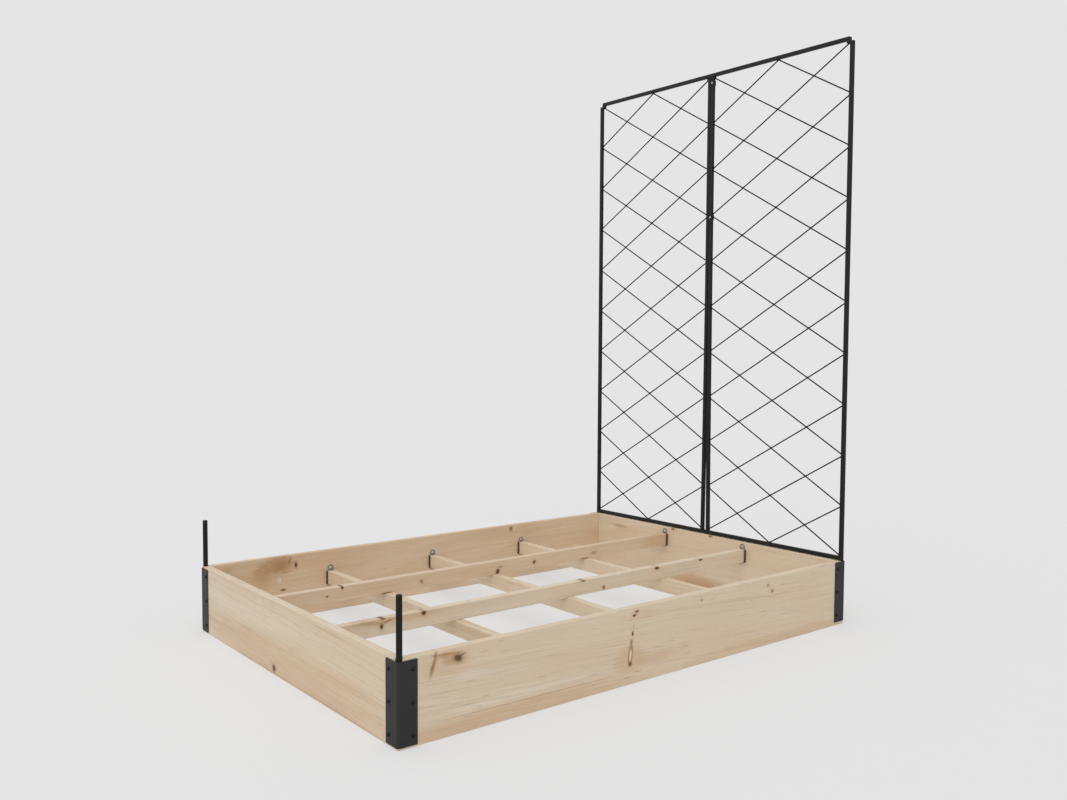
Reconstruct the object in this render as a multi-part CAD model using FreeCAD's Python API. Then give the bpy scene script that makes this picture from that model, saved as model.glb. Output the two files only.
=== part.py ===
import FreeCAD, Part
import math
import os

Vector = FreeCAD.Vector

# The part stands on Z = 0 with its origin at the middle of the base. X runs across the planter,
# Y runs along it towards the trellis, Z is up. All sizes are in millimetres.

# Box of four boards
box_width = 860.0  # over the outer faces of the two side boards
box_length = 1220.0  # over the outer faces of the front and back boards
board_height = 150.0
board_thickness = 16.0
board_edge_radius = 1.5

# Corner brackets, bent from sheet
bracket_leaf = 38.0
bracket_sheet = 2.0
bracket_bend_radius = 3.0
bracket_corner_radius = 1.0
bracket_end_margin = 4.0  # board left bare above and below the bracket
back_bracket_raise = 4.0  # the back brackets sit this much higher, level with the boards' tops
bracket_screw_count = 3
bracket_screw_edge = 8.5  # from the leaf's free edge to the screws
bracket_screw_end = 16.0  # from the bracket's ends to the outer screws

# Pan head screws of the brackets and hangers
screw_head_radius = 3.6
screw_head_height = 2.2
screw_head_rim = 0.7
screw_radius = 1.75
screw_length = 14.0
screw_tip = 3.0
screw_recess_length = 3.6
screw_recess_width = 0.8
screw_recess_depth = 1.1
screw_hole_clearance = 0.35  # round the shank in sheet metal
screw_wood_clearance = 0.05  # round the shank in wood and in tapped metal

# Front corner pins
pin_radius = 5.3
pin_stand = 105.0  # how far a pin stands above the boards
pin_end_radius = 2.0
pin_clearance = 0.5  # from the pin to the inside of its bracket
pin_bore_clearance = 1.0  # from the pin to the wood
pin_mark_width = 1.0  # groove that marks how deep the pin goes, level with the top of the boards
pin_mark_depth = 0.3

# Dividers: two long ones lie on three cross ones
divider_width = 19.0
divider_height = 32.0
divider_edge_radius = 1.0
divider_drop = 18.0  # from the top of the boards to the top of the long dividers
long_divider_count = 2
cross_divider_count = 3

# Crossing screws, driven up through the cross dividers
crossing_screw_radius = 2.0
crossing_screw_head = 4.0
crossing_screw_length = 48.0
crossing_screw_tip = 4.0

# Hangers at the ends of the dividers, bent from thin sheet
hanger_sheet = 1.5
hanger_depth = 6.5
hanger_side_clearance = 0.5
hanger_flange_drop = 1.0  # from the top of the divider to the top of the flanges
hanger_tab_radius = 7.5
hanger_screw_rise = 6.0  # from the top of the divider to the screw
divider_end_clearance = 0.6  # from the divider's end to the screw head

# Trellis frame of square bar
trellis_rise = 1220.0  # from the top of the boards to the top of the trellis
trellis_bar = 9.0
trellis_bar_edge = 1.2
post_clearance = 0.8  # from an outer stile to its bracket and to the wood
centre_gap = 1.0  # between the two centre stiles, above the lower tie
centre_bow = 4.5  # how far each centre stile bows out at its foot
top_rail_gap = 2.0  # between the stiles' tops and the top rail
top_rail_end_radius = 3.0
top_rail_inner_radius = 1.0
top_rail_leg = 6.0  # how far the turned down ends reach below the rail
top_rail_lug_width = 4.0
top_rail_lug_thickness = 6.0
bottom_rail_lift = 1.5  # from the top of the boards to the bottom rails

# Lattice of crossing wires, in each of the two panels
lattice_wire_radius = 1.6
lattice_layer_gap = 0.1  # between the falling and the rising wires where they cross
lattice_periods = 10

# Tie plates and screws that join the two centre stiles
tie_plate_sheet = 1.5
tie_plate_height = 14.0
tie_drop = 14.0  # from the stiles' tops to the upper tie
tie_spacing = 350.0
tie_count = 2
tie_screw_radius = 1.4
tie_screw_head_radius = 2.9
tie_screw_head_height = 1.6
tie_screw_head_rim = 0.5
tie_screw_tip = 1.0
tie_screw_overhang = 1.0  # past the tie plate

same_length = 0.01  # edges closer in length or place than this are taken as the ones meant

# ------------------------------------------------------------------ sizes that follow

outer_x = box_width / 2
outer_y = box_length / 2
inner_x = outer_x - board_thickness
inner_y = outer_y - board_thickness

long_divider_base = board_height - divider_drop - divider_height
divider_base = long_divider_base - divider_height  # underside of the cross dividers
divider_end_gap = hanger_sheet + screw_head_height + divider_end_clearance

top_z = board_height + trellis_rise
rail_underside = top_z - trellis_bar
stile_top = rail_underside - top_rail_gap
bottom_rail_base = board_height + bottom_rail_lift
bottom_rail_top = bottom_rail_base + trellis_bar
bracket_height = board_height - 2 * bracket_end_margin
post_inset = post_clearance + trellis_bar / 2
pin_inset = pin_clearance + pin_radius
stile_x = outer_x - post_inset
trellis_y = outer_y - post_inset
centre_stile_x = (centre_gap + trellis_bar) / 2
lattice_period = (rail_underside - bottom_rail_top) / lattice_periods
tie_heights = [stile_top - tie_drop - i * tie_spacing for i in range(tie_count)]

# Quarter turns that bring a shape built at the +X +Y corner to each corner
corners = {"back_right": 0, "back_left": 1, "front_left": 2, "front_right": 3}


def write_node(name, shapes):
    """Write one node, as one solid or as a group of separate solids."""
    shape = shapes[0] if len(shapes) == 1 else Part.makeCompound(shapes)
    shape.exportStep("parts/" + name + ".step")


def box_between(low, high):
    """A box from its lowest to its highest corner."""
    size = high - low
    return Part.makeBox(size.x, size.y, size.z, low)


def rounded_box(low, high, radius):
    """A box with all its edges rounded."""
    box = box_between(low, high)
    return box.makeFillet(radius, box.Edges)


def moved(shape, position, direction):
    """A copy of a shape built along +Z from the origin, turned to a direction and moved."""
    copy = shape.copy()
    copy.Placement = FreeCAD.Placement(position, FreeCAD.Rotation(Vector(0, 0, 1), direction))
    return copy


def quarter_turn(vector, turns):
    """A vector turned about Z by a number of quarter turns."""
    return FreeCAD.Rotation(Vector(0, 0, 1), 90 * turns).multVec(vector)


def evenly(low, high, count):
    """Evenly spaced values from low to high."""
    return [low + (high - low) * i / (count - 1) for i in range(count)]


def inner_shares(half_span, count):
    """Places that divide a span about zero into equal shares."""
    step = 2 * half_span / (count + 1)
    return [step * (i + 1) - half_span for i in range(count)]


# ------------------------------------------------------------------ screws


def pan_screw(head_radius, head_height, rim, radius, length, tip):
    """A pan head screw: the head stands on Z = 0 and the shank runs down from it."""
    shoulder = Vector(head_radius, 0, rim)
    crown = Vector(0, 0, head_height)
    slope = Vector(head_radius * 0.72, 0, rim + (head_height - rim) * 0.7)
    point = Vector(0, 0, -length)
    side = [shoulder, Vector(head_radius, 0, 0), Vector(radius, 0, 0), Vector(radius, 0, tip - length)]
    path = [Part.Arc(crown, slope, shoulder).toShape()]
    path += Part.makePolygon(side + [point, crown]).Edges
    return Part.Face(Part.Wire(path)).revolve(Vector(), Vector(0, 0, 1), 360)


def recessed(screw, height):
    """A screw with a cross recess in its head."""
    half_length = screw_recess_length / 2
    half_width = screw_recess_width / 2
    floor = height - screw_recess_depth
    for x, y in ((half_length, half_width), (half_width, half_length)):
        screw = screw.cut(box_between(Vector(-x, -y, floor), Vector(x, y, height)))
    return screw


def flat_screw():
    """A countersunk screw: its head is flush with Z = 0 and the shank runs down from it."""
    cone = crossing_screw_head - crossing_screw_radius
    outline = [
        Vector(0, 0, 0),
        Vector(crossing_screw_head, 0, 0),
        Vector(crossing_screw_radius, 0, -cone),
        Vector(crossing_screw_radius, 0, crossing_screw_tip - crossing_screw_length),
        Vector(0, 0, -crossing_screw_length),
        Vector(0, 0, 0),
    ]
    return Part.Face(Part.makePolygon(outline)).revolve(Vector(), Vector(0, 0, 1), 360)


def hole(seat, radius, depth):
    """The space of a round hole that runs down from a screw's seat."""
    position, direction = seat
    return Part.makeCylinder(radius, depth, position, -direction)


def bored(shape, seats, radius, depth):
    """A shape with a hole under each screw's seat."""
    return shape.cut([hole(seat, radius, depth) for seat in seats])


# Seats are pairs: where the head stands, and the way it faces.


def bracket_seats(turns):
    """Seats of the screws on the two leaves of a bracket, the X leaf's first."""
    along = bracket_leaf - bracket_sheet - bracket_screw_edge
    low = bracket_base(turns) + bracket_screw_end
    high = bracket_base(turns) + bracket_height - bracket_screw_end
    seats = []
    for z in evenly(low, high, bracket_screw_count):
        for local, facing in (
            (Vector(-along, bracket_sheet, 0), Vector(0, 1, 0)),
            (Vector(bracket_sheet, -along, 0), Vector(1, 0, 0)),
        ):
            place = corner_point(turns) + quarter_turn(local, turns) + Vector(0, 0, z)
            seats.append((place, quarter_turn(facing, turns)))
    return seats


def bracket_base(turns):
    """Height of a bracket's lower end. The first two corners are the back ones."""
    return bracket_end_margin + (back_bracket_raise if turns < 2 else 0)


def corner_point(turns):
    """Where the outer planes of two boards meet."""
    reach = Vector(outer_x, outer_y, 0) if turns % 2 == 0 else Vector(outer_y, outer_x, 0)
    return quarter_turn(reach, turns)


# ------------------------------------------------------------------ boards and brackets

long_divider_xs = inner_shares(inner_x, long_divider_count)
cross_divider_ys = inner_shares(inner_y, cross_divider_count)

# Each hanger: its point on the board's inner face at the divider's underside, and the way in
hanger_places = {"right": [], "left": [], "front": [], "back": []}
for y in cross_divider_ys:
    hanger_places["right"].append((Vector(inner_x, y, divider_base), Vector(-1, 0, 0)))
    hanger_places["left"].append((Vector(-inner_x, y, divider_base), Vector(1, 0, 0)))
for x in long_divider_xs:
    hanger_places["front"].append((Vector(x, -inner_y, long_divider_base), Vector(0, 1, 0)))
    hanger_places["back"].append((Vector(x, inner_y, long_divider_base), Vector(0, -1, 0)))


def hanger_seat(place):
    """The seat of a hanger's screw."""
    point, inward = place
    rise = Vector(0, 0, divider_height + hanger_screw_rise)
    return point + rise + inward * hanger_sheet, inward


all_bracket_seats = {name: bracket_seats(turns) for name, turns in corners.items()}


def post_space(turns):
    """The space cut out of a corner for what stands in it: a square stile or a round pin."""
    base = bracket_base(turns)
    if turns < 2:
        depth = post_inset + trellis_bar / 2 + post_clearance
        space = box_between(Vector(-depth, -depth, base), Vector(depth, depth, board_height))
    else:
        centre = Vector(-pin_inset, -pin_inset, base)
        space = box_between(centre, Vector(pin_inset, pin_inset, board_height))
        radius = pin_radius + pin_bore_clearance
        space = space.fuse(Part.makeCylinder(radius, board_height - base, centre))
    turn = FreeCAD.Rotation(Vector(0, 0, 1), 90 * turns)
    space.Placement = FreeCAD.Placement(corner_point(turns), turn)
    return space


def board(low, high, side):
    """One board, cut out for the corner posts and bored for the screws."""
    facing = {"right": (1, 0), "left": (-1, 0), "front": (0, -1), "back": (0, 1)}[side]
    solid = rounded_box(low, high, board_edge_radius)
    solid = solid.cut([post_space(turns) for turns in corners.values()])
    seats = [
        seat
        for group in all_bracket_seats.values()
        for seat in group
        if seat[1].dot(Vector(facing[0], facing[1], 0)) > 0.5
    ]
    seats += [hanger_seat(place) for place in hanger_places[side]]
    return bored(solid, seats, screw_radius + screw_wood_clearance, screw_length)


def bracket(turns):
    """A sheet angle round a corner, bored for its screws."""
    leaf = bracket_leaf - bracket_sheet
    bend = bracket_bend_radius
    outside = bend + bracket_sheet
    diagonal = math.sqrt(0.5)
    centre = Vector(-bend, -bend, 0)
    inner_arc = Part.Arc(
        Vector(-bend, 0, 0), centre + Vector(diagonal, diagonal, 0) * bend, Vector(0, -bend, 0)
    )
    outer_arc = Part.Arc(
        Vector(bracket_sheet, -bend, 0),
        centre + Vector(diagonal, diagonal, 0) * outside,
        Vector(-bend, bracket_sheet, 0),
    )
    down_side = [Vector(0, -bend, 0), Vector(0, -leaf, 0)]
    down_side += [Vector(bracket_sheet, -leaf, 0), Vector(bracket_sheet, -bend, 0)]
    across_side = [Vector(-bend, bracket_sheet, 0), Vector(-leaf, bracket_sheet, 0)]
    across_side += [Vector(-leaf, 0, 0), Vector(-bend, 0, 0)]
    outline = [inner_arc.toShape()] + Part.makePolygon(down_side).Edges
    outline += [outer_arc.toShape()] + Part.makePolygon(across_side).Edges
    solid = Part.Face(Part.Wire(outline)).extrude(Vector(0, 0, bracket_height))
    tips = [edge for edge in solid.Edges if is_leaf_tip(edge, leaf)]
    solid = solid.makeFillet(bracket_corner_radius, tips)
    base = corner_point(turns) + Vector(0, 0, bracket_base(turns))
    solid.Placement = FreeCAD.Placement(base, FreeCAD.Rotation(Vector(0, 0, 1), 90 * turns))
    depth = bracket_sheet * 2
    seats = bracket_seats(turns)
    return bored(solid, seats, screw_radius + screw_hole_clearance, depth)


def is_leaf_tip(edge, leaf):
    """True for the short edges through the sheet at a leaf's free corners."""
    middle = edge.CenterOfMass
    at_tip = min(middle.x, middle.y) < -leaf + same_length
    return at_tip and abs(edge.Length - bracket_sheet) < same_length


board_boxes = {
    "right": (Vector(inner_x, -outer_y, 0), Vector(outer_x, outer_y, board_height)),
    "left": (Vector(-outer_x, -outer_y, 0), Vector(-inner_x, outer_y, board_height)),
    "front": (Vector(-inner_x, -outer_y, 0), Vector(inner_x, -inner_y, board_height)),
    "back": (Vector(-inner_x, inner_y, 0), Vector(inner_x, outer_y, board_height)),
}
board_names = {
    "right": "right_side_board",
    "left": "left_side_board",
    "front": "front_board",
    "back": "back_board",
}

screw_blank = pan_screw(
    screw_head_radius, screw_head_height, screw_head_rim, screw_radius, screw_length, screw_tip
)
box_screw = recessed(screw_blank, screw_head_height)


def make_box():
    """Four boards, four corner brackets and their screws."""
    for side, (low, high) in board_boxes.items():
        write_node(board_names[side], [board(low, high, side)])
    for name, turns in corners.items():
        write_node("corner_bracket_" + name, [bracket(turns)])
        screws = [moved(box_screw, *seat) for seat in all_bracket_seats[name]]
        write_node("bracket_screws_" + name, screws)


# ------------------------------------------------------------------ front corner pins


def make_pins():
    """A plain round pin stands in the wood inside each front bracket."""
    base = bracket_base(2)
    height = board_height + pin_stand - base
    for name, side in (("right", 1), ("left", -1)):
        foot = Vector(side * (outer_x - pin_inset), pin_inset - outer_y, base)
        pin = Part.makeCylinder(pin_radius, height, foot)
        top_edge = max(pin.Edges, key=lambda edge: edge.CenterOfMass.z)
        pin = pin.makeFillet(pin_end_radius, [top_edge])
        write_node("front_pin_" + name, [pin.cut(pin_mark(foot))])


def pin_mark(foot):
    """The ring that the depth mark takes out of a pin."""
    base = Vector(foot.x, foot.y, board_height - pin_mark_width)
    outside = Part.makeCylinder(2 * pin_radius, pin_mark_width, base)
    return outside.cut(Part.makeCylinder(pin_radius - pin_mark_depth, pin_mark_width, base))


# ------------------------------------------------------------------ dividers and hangers


def crossing_seats():
    """Seats of the crossing screws, in the undersides of the cross dividers."""
    down = Vector(0, 0, -1)
    return [(Vector(x, y, divider_base), down) for y in cross_divider_ys for x in long_divider_xs]


def make_dividers():
    """Long dividers laid on cross dividers and screwed to them from below."""
    half = divider_width / 2
    screw = flat_screw()
    seats = crossing_seats()
    screw_spaces = [moved(crossing_clearance(), *seat) for seat in seats]
    reach_y = inner_y - divider_end_gap
    reach_x = inner_x - divider_end_gap
    for name, x in zip(("left", "right"), long_divider_xs):
        low = Vector(x - half, -reach_y, long_divider_base)
        high = Vector(x + half, reach_y, long_divider_base + divider_height)
        bar = rounded_box(low, high, divider_edge_radius).cut(screw_spaces)
        write_node("long_divider_" + name, [bar])
    for name, y in zip(("front", "middle", "back"), cross_divider_ys):
        low = Vector(-reach_x, y - half, divider_base)
        high = Vector(reach_x, y + half, long_divider_base)
        bar = rounded_box(low, high, divider_edge_radius).cut(screw_spaces)
        write_node("cross_divider_" + name, [bar])
    write_node("crossing_screws", [moved(screw, *seat) for seat in seats])


def crossing_clearance():
    """The space of a crossing screw and its countersink, a little larger than the screw."""
    radius = crossing_screw_radius + screw_wood_clearance
    head = crossing_screw_head + screw_wood_clearance
    bore = Part.makeCylinder(radius, crossing_screw_length, Vector(), Vector(0, 0, -1))
    sink = Part.makeCone(head, radius, head - radius, Vector(), Vector(0, 0, -1))
    return bore.fuse(sink)


def hanger_shape():
    """A stirrup on a back plate: built on a board's face that looks along +X, seat top at Z = 0."""
    inside = divider_width / 2 + hanger_side_clearance
    outside = inside + hanger_sheet
    flange_top = divider_height - hanger_flange_drop
    screw_z = divider_height + hanger_screw_rise
    tab = hanger_tab_radius
    cradle = box_between(Vector(0, -outside, -hanger_sheet), Vector(hanger_depth, outside, flange_top))
    bends = [edge for edge in cradle.Edges if is_lower_bend(edge)]
    cradle = cradle.makeFillet(hanger_sheet, bends)
    space = box_between(
        Vector(hanger_sheet, -inside, 0), Vector(2 * hanger_depth, inside, divider_height)
    )
    neck = box_between(Vector(0, -tab, 0), Vector(hanger_sheet, tab, screw_z))
    disc = Part.makeCylinder(tab, hanger_sheet, Vector(0, 0, screw_z), Vector(1, 0, 0))
    bore_radius = screw_radius + screw_hole_clearance
    bore = Part.makeCylinder(bore_radius, hanger_sheet, Vector(0, 0, screw_z), Vector(1, 0, 0))
    return cradle.cut(space).fuse([neck, disc]).cut(bore).removeSplitter()


def is_lower_bend(edge):
    """True for the two lower edges of the cradle that run along X."""
    middle = edge.CenterOfMass
    along_x = abs(edge.Length - hanger_depth) < same_length
    return along_x and middle.z < 0 and abs(middle.x - hanger_depth / 2) < same_length


def make_hangers():
    """A hanger at each end of each divider, and its screw."""
    shape = hanger_shape()
    ends = {"right": ("front", "middle", "back"), "left": ("front", "middle", "back")}
    ends.update({"front": ("left", "right"), "back": ("left", "right")})
    for side, places in hanger_places.items():
        for end, (point, inward) in zip(ends[side], places):
            hanger = shape.copy()
            turn = FreeCAD.Rotation(Vector(0, 0, 1), math.degrees(math.atan2(inward.y, inward.x)))
            hanger.Placement = FreeCAD.Placement(point, turn)
            write_node("hanger_" + side + "_board_" + end, [hanger])
        screws = [moved(box_screw, *hanger_seat(place)) for place in places]
        write_node("hanger_screws_" + side, screws)


# ------------------------------------------------------------------ trellis


def square_bar(low, high):
    """A square bar with its long edges eased."""
    bar = box_between(low, high)
    length = max(bar.BoundBox.XLength, bar.BoundBox.YLength, bar.BoundBox.ZLength)
    long_edges = [edge for edge in bar.Edges if abs(edge.Length - length) < same_length]
    return bar.makeFillet(trellis_bar_edge, long_edges)


def outer_stile(side):
    """An upright of square bar that stands in the wood of a back corner."""
    half = trellis_bar / 2
    low = Vector(side * stile_x - half, trellis_y - half, bracket_base(0))
    high = Vector(side * stile_x + half, trellis_y + half, stile_top)
    return square_bar(low, high)


def centre_stile(side):
    """An upright of square bar that bows out below the lower tie, so the two part at the foot."""
    x = side * centre_stile_x
    knee_z = tie_heights[-1]
    drop = knee_z - bottom_rail_top
    radius = (drop**2 + centre_bow**2) / (2 * centre_bow)
    path = [Vector(x, trellis_y, stile_top)]
    for depth in (0, drop / 2, drop + trellis_bar / 2):
        bow = radius - math.sqrt(radius**2 - depth**2)
        path.append(Vector(x + side * bow, trellis_y, knee_z - depth))
    top, knee, middle, end = path
    spine = Part.Wire([Part.makeLine(top, knee), Part.Arc(knee, middle, end).toShape()])
    bar = spine.makePipeShell([rounded_square(top)], True, False)
    below = box_between(Vector(-stile_x, 0, 0), Vector(stile_x, outer_y, bottom_rail_top))
    return bar.cut(below)


def top_rail():
    """The top rail: its ends turn down inside the outer stiles, and lugs stand beside the centre."""
    half = trellis_bar / 2
    reach = stile_x - half
    inside = reach - trellis_bar
    leg_end = rail_underside - top_rail_leg
    corners_xz = [(-reach, leg_end), (-reach, top_z), (reach, top_z), (reach, leg_end)]
    corners_xz += [(inside, leg_end), (inside, rail_underside)]
    corners_xz += [(-inside, rail_underside), (-inside, leg_end), (-reach, leg_end)]
    outline = [Vector(x, trellis_y - half, z) for x, z in corners_xz]
    rail = Part.Face(Part.makePolygon(outline)).extrude(Vector(0, trellis_bar, 0))
    rail = rail.makeFillet(top_rail_end_radius, cross_edges(rail, top_z))
    rail = rail.makeFillet(top_rail_inner_radius, cross_edges(rail, rail_underside))
    eased = [edge for edge in rail.Edges if is_face_outline(edge) and edge.CenterOfMass.z > leg_end]
    rail = rail.makeFillet(trellis_bar_edge, eased)
    return rail.fuse([rail_lug(side) for side in (-1, 1)]).removeSplitter()


def cross_edges(rail, z):
    """The edges that run through the rail from front to back at a height."""
    return [
        edge
        for edge in rail.Edges
        if edge.BoundBox.YLength > trellis_bar / 2 and abs(edge.CenterOfMass.z - z) < same_length
    ]


def is_face_outline(edge):
    """True for the edges round the rail's front and back faces, apart from its legs' ends."""
    return edge.BoundBox.YLength < same_length


def rounded_square(centre):
    """The outline of the bar's section, square to Z."""
    half = trellis_bar / 2
    edge = trellis_bar_edge
    flat = half - edge
    diagonal = edge * math.sqrt(0.5)
    path = []
    for turns in range(4):
        start = quarter_turn(Vector(half, -flat, 0), turns)
        end = quarter_turn(Vector(half, flat, 0), turns)
        after = quarter_turn(Vector(flat, half, 0), turns)
        knuckle = quarter_turn(Vector(flat + diagonal, flat + diagonal, 0), turns)
        path.append(Part.makeLine(centre + start, centre + end))
        path.append(Part.Arc(centre + end, centre + knuckle, centre + after).toShape())
    return Part.Wire(path)


def rail_lug(side):
    """A lug under the top rail, beside the outer face of a centre stile."""
    near = centre_stile_x + trellis_bar / 2
    far = near + top_rail_lug_width
    half = top_rail_lug_thickness / 2
    low = Vector(min(side * near, side * far), trellis_y - half, rail_underside - top_rail_leg)
    high = Vector(max(side * near, side * far), trellis_y + half, top_z - trellis_bar / 2)
    return box_between(low, high)


def bottom_rail(side):
    """A bottom rail: from an outer stile's inner face to the middle, under the centre stile."""
    half = trellis_bar / 2
    ends = sorted((side * centre_gap / 2, side * (stile_x - half)))
    low = Vector(ends[0], trellis_y - half, bottom_rail_base)
    high = Vector(ends[1], trellis_y + half, bottom_rail_top)
    return square_bar(low, high)


def lattice_wires(side, slope, frame):
    """Parallel wires of one panel, all falling (slope -1) or rising (slope 1) towards +X."""
    ends = sorted((side * centre_stile_x, side * stile_x))
    half = trellis_bar / 2
    width = ends[1] - ends[0]
    window = box_between(
        Vector(ends[0] + half, trellis_y - trellis_bar, bottom_rail_top),
        Vector(ends[1] - half, trellis_y + trellis_bar, rail_underside),
    )
    layer = lattice_wire_radius + lattice_layer_gap / 2
    run = Vector(width, 0, 2 * slope * lattice_period)
    wires = []
    for step in range(-1, lattice_periods):
        high_z = rail_underside - step * lattice_period
        start_z = high_z if slope < 0 else high_z - 2 * lattice_period
        start = Vector(ends[0], trellis_y + slope * layer, start_z)
        wire = Part.makeCylinder(lattice_wire_radius, run.Length, start, run)
        pieces = wire.common(window).cut(frame).Solids
        wires.append(max(pieces, key=lambda piece: piece.Volume))
    return wires


def tie_seats():
    """Seats of the joining screws, on the front of the right centre stile."""
    front = trellis_y - trellis_bar / 2
    return [(Vector(centre_stile_x, front, z), Vector(0, -1, 0)) for z in tie_heights]


def make_trellis():
    """Two lattice panels in a frame of square bar, whose outer stiles stand in the back corners."""
    rail = top_rail()
    seats = tie_seats()
    tie_screw_length = trellis_bar + tie_plate_sheet + tie_screw_overhang
    bore = tie_screw_radius + screw_wood_clearance
    write_node("trellis_top_rail", [rail])
    for name, side in (("left", -1), ("right", 1)):
        write_node("trellis_outer_stile_" + name, [outer_stile(side)])
        centre = centre_stile(side)
        write_node("trellis_centre_stile_" + name, [bored(centre, seats, bore, 2 * trellis_bar)])
        write_node("trellis_bottom_rail_" + name, [bottom_rail(side)])
        write_node("lattice_falling_" + name, lattice_wires(side, -1, [rail, centre]))
        write_node("lattice_rising_" + name, lattice_wires(side, 1, [rail, centre]))
    screw = pan_screw(
        tie_screw_head_radius,
        tie_screw_head_height,
        tie_screw_head_rim,
        tie_screw_radius,
        tie_screw_length,
        tie_screw_tip,
    )
    write_node("joining_screws", [moved(screw, *seat) for seat in seats])
    write_node("tie_plates", [tie_plate(seat, seats, bore) for seat in seats])


def tie_plate(seat, seats, bore):
    """A flat plate behind both centre stiles, tapped for the joining screw."""
    reach = centre_stile_x + trellis_bar / 2
    back = trellis_y + trellis_bar / 2
    z = seat[0].z
    low = Vector(-reach, back, z - tie_plate_height / 2)
    high = Vector(reach, back + tie_plate_sheet, z + tie_plate_height / 2)
    return bored(box_between(low, high), seats, bore, 2 * trellis_bar)


os.makedirs("parts", exist_ok=True)
make_box()
make_pins()
make_dividers()
make_hangers()
make_trellis()
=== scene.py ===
# %% [markdown]
# # A wooden planter with a wire trellis
#
# A low box of pine boards stands on the ground. Bars laid across it make planting cells, and a
# black wire trellis stands at one end for climbers. The frame holds every piece at its real size,
# so this lesson is about finishes: planed pine with knots, powder coated steel and zinc plate. It
# also adds the welds of the lattice, which are too small for the frame.

# %% Tools
import math

import bmesh
import bpy
from mathutils import Matrix, Vector
from mathutils.geometry import intersect_line_line_2d


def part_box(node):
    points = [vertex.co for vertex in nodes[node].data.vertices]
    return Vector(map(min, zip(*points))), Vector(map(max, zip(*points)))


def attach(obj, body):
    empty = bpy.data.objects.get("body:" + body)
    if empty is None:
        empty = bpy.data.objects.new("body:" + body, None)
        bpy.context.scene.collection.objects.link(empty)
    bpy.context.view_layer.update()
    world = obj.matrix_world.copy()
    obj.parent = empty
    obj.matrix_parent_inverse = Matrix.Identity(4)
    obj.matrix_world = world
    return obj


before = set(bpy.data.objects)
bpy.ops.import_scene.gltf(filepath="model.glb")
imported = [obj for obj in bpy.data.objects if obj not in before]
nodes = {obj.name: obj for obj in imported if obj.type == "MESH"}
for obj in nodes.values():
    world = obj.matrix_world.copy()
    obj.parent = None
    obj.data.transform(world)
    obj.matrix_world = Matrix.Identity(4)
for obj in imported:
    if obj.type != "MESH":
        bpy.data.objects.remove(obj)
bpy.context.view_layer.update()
print("nodes in the frame:", len(nodes))

# %% [markdown]
# ## The camera
#
# The photograph is taken from the front right corner, a little above knee height, looking almost
# level. A camera is placed by three numbers for where it stands and two for where it looks: the
# turn from the +Y axis and the tilt. A small roll leans it as the photograph leans. The lens
# follows from how wide the view is.

# %% Camera
camera_place = Vector((1.7985, -1.4276, 0.6576))
camera_turn = math.radians(51.37)
camera_tilt = math.radians(-3.19)
camera_roll = math.radians(0.30)
camera_lens = 33.72
camera_reach = 200.0

camera_data = bpy.data.cameras.new("camera")
camera_data.sensor_width = 36.0
camera_data.lens = camera_lens
camera_data.clip_end = camera_reach
camera = bpy.data.objects.new("camera", camera_data)
bpy.context.scene.collection.objects.link(camera)
look = Vector(
    (
        -math.sin(camera_turn) * math.cos(camera_tilt),
        math.cos(camera_turn) * math.cos(camera_tilt),
        math.sin(camera_tilt),
    )
)
facing = look.to_track_quat("-Z", "Y").to_matrix()
camera.matrix_world = Matrix.Translation(camera_place) @ (
    facing @ Matrix.Rotation(camera_roll, 3, "Z")
).to_4x4()
bpy.context.scene.camera = camera
print("camera at", [round(v, 3) for v in camera_place])

# %% [markdown]
# ## Light and backdrop
#
# The photograph has a plain pale backdrop and hardly a shadow. The world is a wide soft light
# that is brighter towards the front left than towards the back right, which is what the brackets
# show: their front leaves mirror the bright side and their side leaves the dark one. A wide soft
# sun from the front right evens the boards out again.

# %% Light
backdrop = 0.783
darkest_light = 0.385
brightest_light = 0.82
brightest_from = Vector((-0.75, -0.60, 0.28)).normalized()
sun_light = 1.23
sun_turn = math.radians(50.0)
sun_height = math.radians(52.0)
sun_width = math.radians(70.0)

world = bpy.data.worlds.new("studio")
bpy.context.scene.world = world
world.use_nodes = True
world_tree = world.node_tree
world_tree.nodes.clear()
light_path = world_tree.nodes.new("ShaderNodeLightPath")
seen = world_tree.nodes.new("ShaderNodeBackground")
seen.inputs["Color"].default_value = (backdrop, backdrop, backdrop, 1)
direction = world_tree.nodes.new("ShaderNodeTexCoord")
towards = world_tree.nodes.new("ShaderNodeVectorMath")
towards.operation = "DOT_PRODUCT"
towards.inputs[1].default_value = brightest_from
level = world_tree.nodes.new("ShaderNodeMapRange")
for socket, value in {"From Min": -1, "To Min": darkest_light, "To Max": brightest_light}.items():
    level.inputs[socket].default_value = value
lighting = world_tree.nodes.new("ShaderNodeBackground")
lighting.inputs["Color"].default_value = (1, 1, 1, 1)
chooser = world_tree.nodes.new("ShaderNodeMixShader")
world_out = world_tree.nodes.new("ShaderNodeOutputWorld")
world_tree.links.new(direction.outputs["Generated"], towards.inputs[0])
world_tree.links.new(towards.outputs["Value"], level.inputs["Value"])
world_tree.links.new(level.outputs[0], lighting.inputs["Strength"])
world_tree.links.new(light_path.outputs["Is Camera Ray"], chooser.inputs[0])
world_tree.links.new(lighting.outputs[0], chooser.inputs[1])
world_tree.links.new(seen.outputs[0], chooser.inputs[2])
world_tree.links.new(chooser.outputs[0], world_out.inputs["Surface"])

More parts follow.
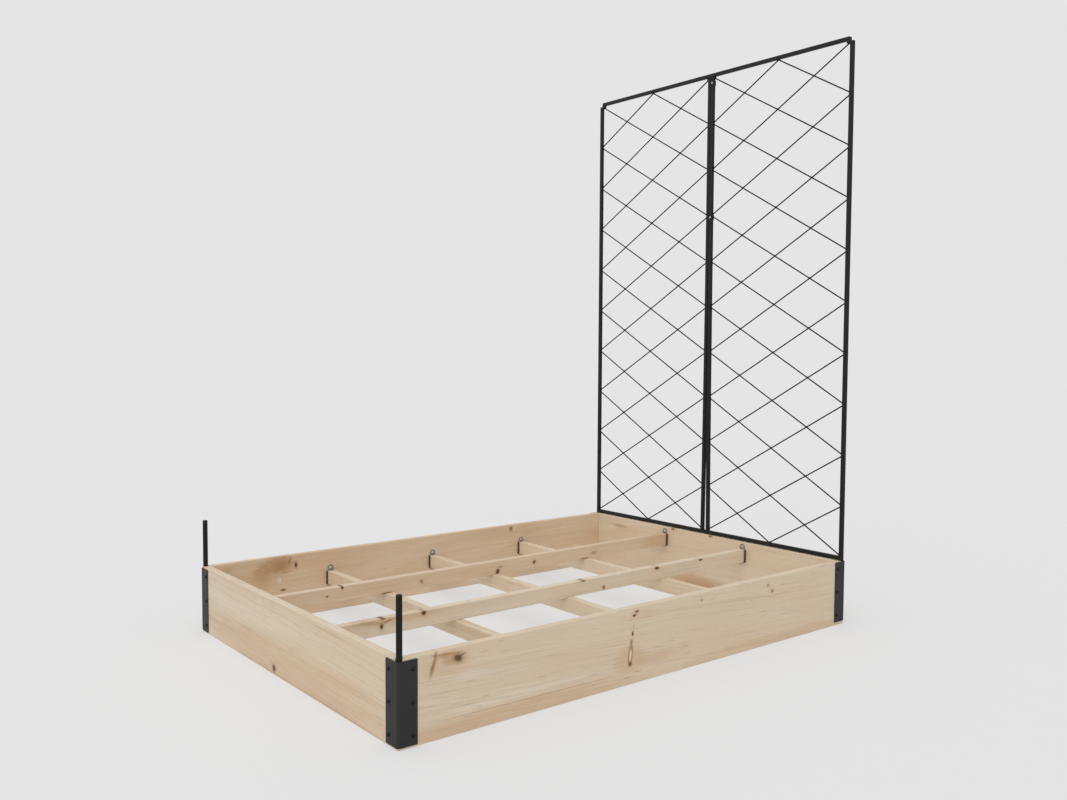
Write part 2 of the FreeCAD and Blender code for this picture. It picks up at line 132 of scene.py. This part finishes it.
sun_data = bpy.data.lights.new("soft_sun", "SUN")
sun_data.energy = sun_light
sun_data.angle = sun_width
sun = bpy.data.objects.new("soft_sun", sun_data)
sun_from = Vector(
    (
        math.sin(sun_turn) * math.cos(sun_height),
        -math.cos(sun_turn) * math.cos(sun_height),
        math.sin(sun_height),
    )
)
sun.rotation_euler = (-sun_from).to_track_quat("-Z", "Y").to_euler()
bpy.context.scene.collection.objects.link(sun)

picture = bpy.context.scene.view_settings
picture.view_transform = "Standard"
picture.look = "None"
mean_light = (darkest_light + brightest_light) / 2
lean_light = (brightest_light - darkest_light) / 3 * brightest_from.z
floor_light = mean_light + lean_light + sun_light * math.sin(sun_height) / math.pi
print("light on the floor", round(floor_light, 3))

# %% [markdown]
# ## Writing materials as sums
#
# A material is a small calculation that runs at every point of a surface. Wrapping a socket in a
# class with Python's operators lets it be written as one: `1 - mask * 0.5` adds the Math nodes by
# itself. Every other kind of node comes from one method, which takes its type, its settings and
# the values or links of its sockets.


# %% Sockets with operators
class Value:
    """A number or colour that varies over a surface. Operators on it add Math nodes."""

    def __init__(self, finish, socket):
        self.finish = finish
        self.socket = socket

    def __add__(self, other):
        return self.finish.math("ADD", self, other)

    def __radd__(self, other):
        return self.finish.math("ADD", other, self)

    def __sub__(self, other):
        return self.finish.math("SUBTRACT", self, other)

    def __rsub__(self, other):
        return self.finish.math("SUBTRACT", other, self)

    def __mul__(self, other):
        return self.finish.math("MULTIPLY", self, other)

    def __rmul__(self, other):
        return self.finish.math("MULTIPLY", other, self)

    def __truediv__(self, other):
        return self.finish.math("DIVIDE", self, other)

    def __rtruediv__(self, other):
        return self.finish.math("DIVIDE", other, self)

    def __pow__(self, other):
        return self.finish.math("POWER", self, other)

    def __rpow__(self, other):
        return self.finish.math("POWER", other, self)


# %% [markdown]
# The second class is a material while it is being written. It starts from the object's own
# coordinates, so that a pattern stays on its piece when the piece moves, and it ends with the
# shader. `dress` then gives a finished material to the pieces that wear it.


# %% A finish and its nodes
class Finish:
    """A material being written, from its coordinates to its shader."""

    def __init__(self, name):
        self.material = bpy.data.materials.new(name)
        self.material.use_nodes = True
        self.tree = self.material.node_tree
        self.tree.nodes.clear()
        self.place = self.node("ShaderNodeTexCoord", output="Object")
        split = self.node("ShaderNodeSeparateXYZ", inputs={0: self.place})
        outputs = split.socket.node.outputs
        self.x, self.y, self.z = (Value(self, outputs[i]) for i in range(3))

    def node(self, kind, settings=None, inputs=None, output=0):
        """Any node: its settings are made first, then its sockets are set or linked."""
        made = self.tree.nodes.new(kind)
        for name, setting in (settings or {}).items():
            setattr(made, name, setting)
        for name, given in (inputs or {}).items():
            if isinstance(given, Value):
                self.tree.links.new(given.socket, made.inputs[name])
            else:
                made.inputs[name].default_value = given
        return Value(self, made.outputs[output]) if made.outputs else None

    def math(self, operation, *values):
        return self.node("ShaderNodeMath", {"operation": operation}, dict(enumerate(values)))

    def largest(self, first, second):
        return self.math("MAXIMUM", first, second)

    def smooth(self, value, low, high):
        """0 below low, 1 above high, and a smooth step between."""
        settings = {"interpolation_type": "SMOOTHSTEP"}
        return self.node("ShaderNodeMapRange", settings, {0: value, 1: low, 2: high})

    def vector(self, x, y, z):
        return self.node("ShaderNodeCombineXYZ", inputs={0: x, 1: y, 2: z})

    def noise(self, place, scale, detail=2.0, roughness=0.5):
        inputs = {"Vector": place, "Scale": scale, "Detail": detail, "Roughness": roughness}
        return self.node("ShaderNodeTexNoise", inputs=inputs)

    def blend(self, share, first, second):
        """The first colour, giving way to the second as share goes from 0 to 1."""
        first, second = ((*c, 1.0) if isinstance(c, tuple) else c for c in (first, second))
        settings = {"data_type": "RGBA"}
        return self.node("ShaderNodeMix", settings, {0: share, 6: first, 7: second}, 2)

    def bump(self, height, distance, strength=1.0):
        inputs = {"Height": height, "Distance": distance, "Strength": strength}
        return self.node("ShaderNodeBump", inputs=inputs)

    def finish(self, **sockets):
        """The shader, with its sockets named in words joined by underscores."""
        inputs = {}
        for name, given in sockets.items():
            socket = name.replace("_", " ").title().replace("Ior", "IOR")
            inputs[socket] = (*given, 1.0) if isinstance(given, tuple) else given
        shader = self.node("ShaderNodeBsdfPrincipled", inputs=inputs)
        self.node("ShaderNodeOutputMaterial", inputs={"Surface": shader})
        return self.material


def dress(names, material):
    """Give a finish to nodes of the frame, in place of the plain one they came with."""
    for name in names:
        slots = nodes[name].data.materials
        slots.clear()
        slots.append(material)
    print(material.name, "on", len(names), "pieces")


# %% [markdown]
# ## Floor
#
# The floor is a wide disc, so that its rim is far past the view. It is as bright as the backdrop,
# and no horizon shows. Half of its brightness is its own glow, because the photograph's backdrop
# was evened out and the shadow beside the box nearly taken away. Shiny surfaces don't mirror the
# glow: the black steel in the photograph is darker than a white floor would leave it.

# %% Floor
floor_radius = 90.0
floor_glow = 0.5
floor_mesh = bpy.data.meshes.new("floor")
shaping = bmesh.new()
bmesh.ops.create_circle(shaping, cap_ends=True, radius=floor_radius, segments=64)
shaping.to_mesh(floor_mesh)
shaping.free()
floor = bpy.data.objects.new("floor", floor_mesh)
bpy.context.scene.collection.objects.link(floor)
paper = Finish("floor_paper")
mirrored = paper.node("ShaderNodeLightPath", output="Is Glossy Ray")
floor_white = backdrop * (1 - floor_glow) / floor_light
floor_mesh.materials.append(
    paper.finish(
        base_color=(floor_white,) * 3,
        emission_color=paper.blend(mirrored, (backdrop,) * 3, (0.0, 0.0, 0.0)),
        emission_strength=floor_glow,
        roughness=1.0,
        specular_ior_level=0.0,
    )
)
print("floor colour", round(floor_white, 3))

# %% [markdown]
# ## Planed pine
#
# A board is sawn from a round trunk, so its figure is a slice through a set of tubes, one in the
# other: the growth rings. The material works out how far each point is from the middle of the
# trunk, and that distance, counted in rings, gives the pale early wood and the darker late wood.
# The trunk lies a little askew to the board, so the lines run out into long arches. Knots are
# branches: the rings swell round them, and they are darker. This takes more nodes than a
# stretched noise does, and it is what makes the figure on a face, an edge and an end belong
# together.

# %% Wood colours
pale_wood = (0.720, 0.590, 0.430)
warm_wood = (0.640, 0.445, 0.275)
late_wood = (0.500, 0.345, 0.200)
white_wood = (0.780, 0.690, 0.560)
grey_dash = (0.300, 0.225, 0.150)
resin = (0.430, 0.235, 0.095)
knot_rim = (0.260, 0.140, 0.065)
knot_heart = (0.085, 0.042, 0.022)
ring_density = 75.0
ring_wander = 0.030
grain_relief = 0.00014
print("wood colours from", pale_wood, "to", knot_heart)

# %% [markdown]
# A knot, a streak of resin or a crack has its own place on a board, so each is an oval that says
# how far every point is from its middle. The same oval, made ragged by a noise, gives the dark
# core, the warm rim and the swelling of the rings.


# %% Marks in the wood
def tilted_oval(along, across, mark):
    """How far a point is from a mark's middle, counted in the mark's own half lengths."""
    centre_along, centre_across, half_length, half_width, lean = mark[:5]
    cos, sin = math.cos(math.radians(lean)), math.sin(math.radians(lean))
    away_along = along - centre_along
    away_across = across - centre_across
    lengthwise = (away_along * cos + away_across * sin) / half_length
    sideways = (away_across * cos - away_along * sin) / half_width
    return (lengthwise * lengthwise + sideways * sideways) ** 0.5


# %% [markdown]
# ## One board's finish
#
# The figure is laid down in the order in which it shows: the broad tint of the board, the rings,
# the fine fibres, the short dark dashes of the pores, and last the marks. Each noise is stretched
# along the grain: the numbers of its vector say how often it changes in a metre of the board's
# length, height and depth.


# %% Pine
def pine(
    name,
    grain,
    seed,
    knots=(),
    streaks=(),
    slits=(),
    washes=(),
    heart=(0.05, -0.03),
    tone=0.4,
    slope=0.0,
    dashes=0.5,
):
    """Planed pine whose grain runs along X or Y. The marks are ovals: middle along the grain,
    middle across it, half length, half width, lean in degrees and strength. Knots are dark and the
    rings go round them, streaks are resin, slits are cracks, and a wash is a wide soft patch of
    warmer wood, or of whiter wood where its strength is negative."""
    wood = Finish(name)
    along = wood.x if grain == "X" else wood.y
    depth = wood.y if grain == "X" else wood.x
    height = wood.z
    torn = wood.vector(along * 90.0, height * 260.0, depth * 260.0 + seed)
    ragged = wood.noise(torn, 1.0, 3.0) - 0.5
    blotted = wood.vector(along * 14.0, height * 40.0, depth * 40.0 + seed)
    blot = wood.noise(blotted, 1.0, 3.0) - 0.5
    across = height + along * slope
    drifting = wood.vector(along * 1.6 + seed, across * 11.0, depth * 11.0)
    drift = wood.noise(drifting, 1.0, 3.0) - 0.5

    core = 0.0
    halo = 0.0
    swell = 0.0
    for knot in knots:
        half_width, strength = knot[3], knot[5]
        oval = tilted_oval(along, height, knot) + ragged * 0.9
        core = wood.largest(core, (1 - wood.smooth(oval, 0.35, 1.45)) * strength)
        halo = wood.largest(halo, (1 - wood.smooth(oval, 0.9, 3.4)) * strength)
        swell = swell + math.e ** (oval * oval * -0.18) * half_width * 1.4

    heart_depth, heart_height = heart
    out_depth = depth - heart_depth
    out_height = across - heart_height
    round_heart = (out_depth * out_depth + out_height * out_height) ** 0.5
    from_heart = round_heart + drift * ring_wander + swell
    rings = wood.vector(from_heart * ring_density + seed, along * 0.9, 0.0)
    growth = wood.noise(rings, 1.0, 4.0, 0.72)
    late = wood.smooth(growth, 0.50, 0.74)
    early = 1 - wood.smooth(growth, 0.26, 0.46)
    fibres = wood.vector(along * 7.0, across * 330.0, depth * 330.0 + seed)
    fibre = wood.noise(fibres, 1.0, 4.0, 0.65)
    clouded = wood.vector(along * 3.2 + seed, across * 12.0, depth * 12.0)
    cloud = wood.noise(clouded, 1.0, 3.0)

    colour = wood.blend(wood.smooth(cloud, 0.36, 0.68) * tone, pale_wood, warm_wood)
    for wash in washes:
        oval = tilted_oval(along, height, wash) + blot * 0.9
        share = (1 - wood.smooth(oval, 0.45, 1.35)) * abs(wash[5])
        colour = wood.blend(share, colour, warm_wood if wash[5] > 0 else white_wood)
    colour = wood.blend(early * 0.50, colour, white_wood)
    colour = wood.blend(late * (0.24 + fibre * 0.36), colour, late_wood)
    colour = wood.blend(wood.smooth(fibre, 0.50, 0.76) * 0.40, colour, late_wood)
    colour = wood.blend((1 - wood.smooth(fibre, 0.26, 0.46)) * 0.45, colour, white_wood)

    flecked = wood.vector(along * 24.0, across * 230.0, depth * 40.0 + seed)
    flecks = wood.noise(flecked, 1.0, 2.0)
    banded = wood.vector(along * 4.0 - seed, across * 16.0, depth * 16.0)
    band = wood.noise(banded, 1.0, 2.0)
    fleck = wood.smooth(flecks, 0.58, 0.78) * wood.smooth(band, 0.40, 0.62)
    colour = wood.blend(fleck * dashes, colour, grey_dash)

    for streak in streaks:
        oval = tilted_oval(along, height, streak) + ragged * 0.9 + blot * 0.5
        colour = wood.blend((1 - wood.smooth(oval, 0.25, 1.25)) * streak[5], colour, resin)
    colour = wood.blend(halo * 0.30, colour, warm_wood)
    colour = wood.blend(core, colour, knot_rim)
    colour = wood.blend(wood.smooth(core + ragged * 0.6, 0.50, 0.90) * 0.80, colour, knot_heart)
    crack = 0.0
    for slit in slits:
        oval = tilted_oval(along, height, slit) + ragged * 0.4
        inside = 1 - wood.smooth(oval, 0.30, 0.62)
        crack = wood.largest(crack, (1 - wood.smooth(oval, 0.62, 1.3)) * slit[5])
        colour = wood.blend(crack - inside * slit[5], colour, knot_rim)
        colour = wood.blend(inside * 0.7, colour, white_wood)

    relief = fibre * 0.6 - late * 0.3 - fleck * 0.5 - crack * 3.0
    normal = wood.bump(relief, grain_relief)
    rough = 0.40 + fibre * 0.14 - core * 0.1
    return wood.finish(base_color=colour, roughness=rough, normal=normal)


# %% [markdown]
# ## The boards
#
# Each board has its own knots, put where the photograph shows them. The near side board has a
# dark horn shaped knot by the front corner with a resin streak beside it, and a slit in the
# middle.

# %% Near side board
near_board = pine(
    "pine_right_side_board",
    "Y",
    1.7,
    knots=[
        (-0.5435, 0.126, 0.0020, 0.014, -20.0, 0.60),
        (-0.539, 0.143, 0.0035, 0.0025, 0.0, 0.60),
        (-0.493, 0.131, 0.011, 0.007, -20.0, 0.86),
        (-0.486, 0.135, 0.012, 0.0015, 12.0, 0.81),
        (-0.074, 0.141, 0.006, 0.003, 0.0, 0.81),
        (-0.081, 0.134, 0.006, 0.003, 0.0, 0.88),
        (-0.085, 0.099, 0.003, 0.005, 0.0, 1.00),
        (-0.088, 0.083, 0.004, 0.006, 0.0, 0.61),
        (-0.091, 0.040, 0.005, 0.005, 0.0, 0.88),
        (0.327, 0.133, 0.006, 0.004, 0.0, 0.57),
        (0.342, 0.118, 0.005, 0.005, 0.0, 0.65),
        (0.113, 0.134, 0.005, 0.003, 0.0, 0.54),
    ],
    streaks=[
        (-0.512, 0.1415, 0.036, 0.0026, -4.5, 1.00),
        (-0.515, 0.138, 0.030, 0.005, -4.0, 0.48),
        (-0.543, 0.125, 0.0052, 0.021, -20.0, 1.00),
        (-0.538, 0.143, 0.0042, 0.008, -10.0, 0.95),
        (-0.500, 0.132, 0.028, 0.014, 0.0, 0.66),
        (-0.083, 0.113, 0.003, 0.009, 0.0, 0.36),
        (-0.068, 0.022, 0.016, 0.0012, 2.0, 0.72),
        (-0.330, 0.028, 0.230, 0.0014, -0.8, 0.54),
    ],
    slits=[(-0.0905, 0.058, 0.0065, 0.022, -8.0, 0.70)],
    washes=[
        (-0.400, 0.012, 0.330, 0.018, 0.0, 0.75),
        (0.350, 0.008, 0.300, 0.014, 0.0, 0.55),
        (-0.520, 0.125, 0.050, 0.022, 0.0, 0.55),
        (-0.090, 0.052, 0.045, 0.026, 0.0, 0.70),
        (-0.020, 0.043, 0.070, 0.010, 0.0, 0.60),
        (-0.050, 0.133, 0.040, 0.010, 0.0, 0.45),
        (-0.380, 0.042, 0.160, 0.006, 0.0, -0.75),
        (-0.420, 0.098, 0.120, 0.007, 0.0, -0.50),
    ],
    heart=(0.40, -0.10),
    tone=0.22,
    slope=0.05,
    dashes=0.42,
)
dress(["right_side_board"], near_board)

# %% [markdown]
# The far side board is seen from inside. It is warmer than the near one, and near the front its
# grain swirls round a knot.

# %% Far side board
far_board = pine(
    "pine_left_side_board",
    "Y",
    5.3,
    knots=[
        (-0.388, 0.125, 0.005, 0.009, 10.0, 0.81),
        (-0.421, 0.069, 0.007, 0.0025, 0.0, 1.00),
        (0.262, 0.140, 0.007, 0.008, 0.0, 0.68),
        (-0.404, 0.138, 0.004, 0.010, -25.0, 0.54),
    ],
    streaks=[
        (-0.432, 0.130, 0.046, 0.026, 0.0, 0.70),
        (-0.424, 0.130, 0.024, 0.016, 20.0, 0.70),
        (-0.412, 0.111, 0.012, 0.003, 0.0, 0.54),
        (-0.424, 0.111, 0.004, 0.005, 0.0, 0.48),
        (-0.475, 0.112, 0.030, 0.026, -20.0, 0.50),
        (-0.560, 0.135, 0.022, 0.008, 10.0, 0.30),
    ],
    washes=[
        (0.000, 0.110, 0.900, 0.120, 0.0, 0.55),
        (-0.470, 0.110, 0.080, 0.040, 0.0, 0.90),
        (-0.431, 0.093, 0.005, 0.007, 0.0, -0.60),
    ],
    heart=(-0.50, 0.05),
    tone=0.9,
    slope=-0.02,
    dashes=0.35,
)
dress(["left_side_board"], far_board)

# %% [markdown]
# The front board is the clearest of the four, with one knot low down. The back board has an
# orange patch near the ground, which shows between the dividers.

# %% Front and back boards
front_board = pine(
    "pine_front_board",
    "X",
    9.1,
    knots=[(-0.045, 0.013, 0.009, 0.009, 0.0, 0.84)],
    streaks=[(0.05, 0.0035, 0.380, 0.0014, 0.0, 0.48)],
    washes=[
        (0.000, 0.030, 0.420, 0.040, 0.0, 0.55),
        (0.260, 0.060, 0.180, 0.012, 0.0, 0.35),
        (-0.200, 0.105, 0.300, 0.025, 0.0, -0.45),
    ],
    heart=(-0.60, -0.12),
    tone=0.20,
    slope=0.02,
    dashes=0.30,
)
dress(["front_board"], front_board)
back_board = pine(
    "pine_back_board",
    "X",
    3.9,
    knots=[
        (-0.108, 0.147, 0.008, 0.004, 0.0, 0.74),
        (0.028, 0.148, 0.008, 0.004, 0.0, 0.74),
        (-0.320, 0.126, 0.030, 0.006, 0.0, 0.34),
    ],
    streaks=[(-0.010, 0.012, 0.095, 0.020, 0.0, 0.42)],
    washes=[(-0.010, 0.012, 0.110, 0.026, 0.0, 1.0), (-0.300, 0.105, 0.100, 0.020, 12.0, 0.5)],
    heart=(0.70, 0.02),
    tone=0.45,
    dashes=0.30,
)
dress(["back_board"], back_board)

# %% [markdown]
# ## The dividers
#
# The bars are cut from narrower stock, which is knottier. The two long bars show their knots in
# the photograph, and the cross bars are nearly clear.

# %% Near long divider
near_divider = pine(
    "pine_long_divider_right",
    "Y",
    2.2,
    knots=[
        (-0.477, 0.117, 0.004, 0.007, 0.0, 0.94),
        (-0.474, 0.132, 0.006, 0.002, 0.0, 1.00),
        (-0.382, 0.128, 0.006, 0.005, 0.0, 1.00),
        (0.037, 0.131, 0.007, 0.002, 0.0, 0.81),
        (0.099, 0.107, 0.005, 0.005, 0.0, 0.74),
        (0.270, 0.128, 0.008, 0.004, 0.0, 1.00),
        (0.423, 0.128, 0.007, 0.003, 0.0, 1.00),
    ],
    streaks=[
        (-0.462, 0.126, 0.016, 0.003, 8.0, 1.00),
        (-0.500, 0.127, 0.040, 0.006, -8.0, 0.48),
        (-0.476, 0.122, 0.008, 0.010, 0.0, 0.42),
    ],
    washes=[
        (0.000, 0.110, 0.900, 0.080, 0.0, -0.40),
        (-0.430, 0.128, 0.120, 0.010, 0.0, 0.60),
        (-0.300, 0.106, 0.250, 0.008, 0.0, -0.60),
    ],
    heart=(0.24, 0.02),
    tone=0.30,
    dashes=0.25,
)
dress(["long_divider_right"], near_divider)

# %% [markdown]
# The far bar is from a warmer piece of wood, as the board behind it is.

# %% Far long divider
far_divider = pine(
    "pine_long_divider_left",
    "Y",
    7.7,
    knots=[
        (-0.415, 0.130, 0.004, 0.006, 0.0, 0.88),
        (-0.451, 0.115, 0.004, 0.003, 0.0, 0.74),
        (-0.213, 0.113, 0.006, 0.005, -30.0, 0.61),
        (0.004, 0.107, 0.006, 0.008, -10.0, 0.94),
        (0.012, 0.117, 0.006, 0.003, 0.0, 0.61),
        (0.117, 0.115, 0.006, 0.005, 0.0, 0.88),
        (0.317, 0.113, 0.010, 0.005, 0.0, 0.47),
        (-0.305, 0.101, 0.016, 0.002, 0.0, 0.81),
        (0.285, 0.102, 0.018, 0.002, 0.0, 0.68),
    ],
    washes=[
        (0.000, 0.115, 0.900, 0.080, 0.0, 0.50),
        (-0.060, 0.113, 0.090, 0.012, 0.0, 0.50),
        (0.560, 0.115, 0.070, 0.024, 0.0, 1.00),
    ],
    heart=(-0.07, 0.03),
    tone=0.8,
    dashes=0.25,
)
dress(["long_divider_left"], far_divider)

# %% [markdown]
# The cross bars differ only in their seed, which moves the noises to another part of the wood.
# The heart of the trunk is put a little beside each bar, so that its rings run as they do in
# narrow stock.

# %% Cross dividers
first_seed, seed_step = 11.3, 2.9
heart_beside, heart_above = 0.06, 0.02
for number, name in enumerate(("front", "middle", "back")):
    low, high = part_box("cross_divider_" + name)
    heart = ((low[1] + high[1]) / 2 + heart_beside, heart_above)
    seed = first_seed + seed_step * number
    cross = pine("pine_cross_divider_" + name, "X", seed, heart=heart, tone=0.1)
    dress(["cross_divider_" + name], cross)

# %% [markdown]
# ## Powder coated steel
#
# The brackets, pins and trellis are coated in black powder that is baked on. Close to, such a
# coat has a fine orange peel and a soft gloss, which shows most where it is seen at a low angle.


# %% Powder coat
def powder_coat(name, colour, gloss, level=0.5):
    """Black powder coat: nearly black, with orange peel and a patchy soft gloss."""
    coat = Finish(name)
    peel = coat.noise(coat.place, 900.0, 1.0)
    patches = coat.noise(coat.place, 22.0, 3.0)
    dust = coat.smooth(coat.noise(coat.place, 140.0, 3.0), 0.52, 0.72)
    dusty = tuple(channel * 1.8 + 0.002 for channel in colour)
    shade = coat.blend(dust * 0.5, colour, dusty)
    rough = gloss + (patches - 0.5) * 0.16
    normal = coat.bump(peel, 0.00006)
    return coat.finish(base_color=shade, roughness=rough, normal=normal, specular_ior_level=level)


# %% [markdown]
# The three coats differ in gloss. The brackets mirror the studio the most, which is why their
# front leaves look grey, and the thin wires hardly shine.

# %% Coated pieces
bracket_coat = powder_coat("black_powder_coat_brackets", (0.0045, 0.0050, 0.0075), 0.40, 0.95)
frame_coat = powder_coat("black_powder_coat_frame", (0.0065, 0.0065, 0.0072), 0.44, 0.38)
wire_coat = powder_coat("black_powder_coat_wires", (0.0050, 0.0050, 0.0055), 0.50, 0.15)
dress([n for n in nodes if n.startswith("corner_bracket")], bracket_coat)
dress([n for n in nodes if n.startswith(("trellis", "front_pin", "tie_plates"))], frame_coat)
dress([n for n in nodes if n.startswith("lattice")], wire_coat)

# %% [markdown]
# ## Welds of the lattice
#
# The wires are spot welded where they cross and where they end on the frame, and each weld leaves
# a small swelling. A wire in the frame is a plain rod: once a copy of its loose triangles is
# merged, its corners lie in two rings, one at each end, and the middles of the rings give its
# line. Two lines crossed give the place of a weld, which is surer than measuring it by hand.

# %% Wires
touching = 0.00001
crossing_bead = 0.0026
end_bead = 0.0024


def wire_lines(name):
    """The lower and upper end of each wire of a node."""
    reading = bmesh.new()
    reading.from_mesh(nodes[name].data)
    bmesh.ops.remove_doubles(reading, verts=reading.verts, dist=touching)
    taken = set()
    lines = []
    for start in reading.verts:
        if start in taken:
            continue
        taken.add(start)
        reached = [start]
        for corner in reached:
            for near in (edge.other_vert(corner) for edge in corner.link_edges):
                if near not in taken:
                    taken.add(near)
                    reached.append(near)
        middle_z = sum(corner.co.z for corner in reached) / len(reached)
        low = [corner.co.copy() for corner in reached if corner.co.z < middle_z]
        high = [corner.co.copy() for corner in reached if corner.co.z >= middle_z]
        lines.append((sum(low, Vector()) / len(low), sum(high, Vector()) / len(high)))
    reading.free()
    return lines


def crossing(first, second):
    """Where two wires cross in the plane of the trellis, or None."""
    (a, b), (c, d) = [[Vector((end.x, end.z)) for end in line] for line in (first, second)]
    met = intersect_line_line_2d(a, b, c, d)
    if met is None:
        return None
    return Vector((met.x, (first[0].y + second[0].y) / 2, met.y))


# %% [markdown]
# A bead is an icosphere of 20 faces, which is round enough at its size. All of them share one
# mesh, because they lift out with the trellis as one piece.

# %% Welds
weld_mesh = bpy.data.meshes.new("lattice_welds")
shaping = bmesh.new()
weld_places = []
for side in ("left", "right"):
    falling = wire_lines("lattice_falling_" + side)
    rising = wire_lines("lattice_rising_" + side)
    met = [crossing(first, second) for first in falling for second in rising]
    weld_places += [(place, crossing_bead) for place in met if place is not None]
    weld_places += [(end, end_bead) for line in falling + rising for end in line]
for place, size in weld_places:
    bead = bmesh.ops.create_icosphere(shaping, subdivisions=1, radius=size)
    bmesh.ops.translate(shaping, verts=bead["verts"], vec=place)
for face in shaping.faces:
    face.smooth = True
shaping.to_mesh(weld_mesh)
shaping.free()
weld_mesh.materials.append(wire_coat)
welds = bpy.data.objects.new("lattice_welds", weld_mesh)
bpy.context.scene.collection.objects.link(welds)
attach(welds, "trellis")
print("welds:", len(weld_places))

# %% [markdown]
# ## Screws and zinc plate
#
# The bracket screws are black like their brackets. The hangers that carry the bars and the screws
# that hold them are plated with zinc, which is a dull grey with faint large crystals. Below its
# tab the plate of a hanger is painted brown: a painted reflection of the wood and shade beside it.

# %% Zinc
# Brown of the painted reflection: the hangers' plate mirrors the wood and the shade beside it.
wood_reflection_brown = (0.120, 0.085, 0.055)
reflection_edge = 0.002


def zinc(name, colour, gloss, painted_reflection_below=None):
    """Dull zinc plate with a faint patchwork of crystals, and a painted brown reflection below a
    height.
    """
    plate = Finish(name)
    settings = {"feature": "F1"}
    crystals = plate.node(
        "ShaderNodeTexVoronoi", settings, {"Vector": plate.place, "Scale": 260.0}, "Color"
    )
    shade = plate.node("ShaderNodeRGBToBW", inputs={0: crystals})
    patches = plate.noise(plate.place, 90.0, 3.0)
    darker = tuple(channel * 0.72 for channel in colour)
    tint = plate.blend(shade * 0.5 + patches * 0.4, colour, darker)
    # Painted reflection: below this height the tint turns brown, for the wood and shade that the
    # plate mirrors.
    if painted_reflection_below is not None:
        edge = plate.z + patches * reflection_edge
        painted_reflection = 1 - plate.smooth(edge, painted_reflection_below, painted_reflection_below + reflection_edge)
        tint = plate.blend(painted_reflection * 0.9, tint, wood_reflection_brown)
    rough = gloss + shade * 0.12
    normal = plate.bump(patches + shade * 0.3, 0.00005)
    return plate.finish(base_color=tint, roughness=rough, metallic=0.85, normal=normal)


# %% [markdown]
# The hangers of the long bars sit higher than those of the cross bars, so each kind has its own
# height at which the painted brown reflection starts, measured from the top of its tab.

# %% Hangers and screws
black_screw = powder_coat("black_screw_coat", (0.006, 0.006, 0.007), 0.40, 0.3)
dress([n for n in nodes if n.startswith("bracket_screws")], black_screw)
tab_height = 0.0145
for direction, sides in {"long": ("front", "back"), "cross": ("left", "right")}.items():
    names = [n for n in nodes if n.startswith(tuple("hanger_" + side for side in sides))]
    top = max(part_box(name)[1][2] for name in names)
    plate = zinc("zinc_plate_painted_reflection_hangers_" + direction, (0.46, 0.46, 0.43), 0.22, top - tab_height)
    dress(names, plate)
screw_zinc = zinc("zinc_plate_screws", (0.62, 0.64, 0.61), 0.30)
dress([n for n in nodes if n.startswith("hanger_screws")], screw_zinc)
dress(["crossing_screws", "joining_screws"], screw_zinc)
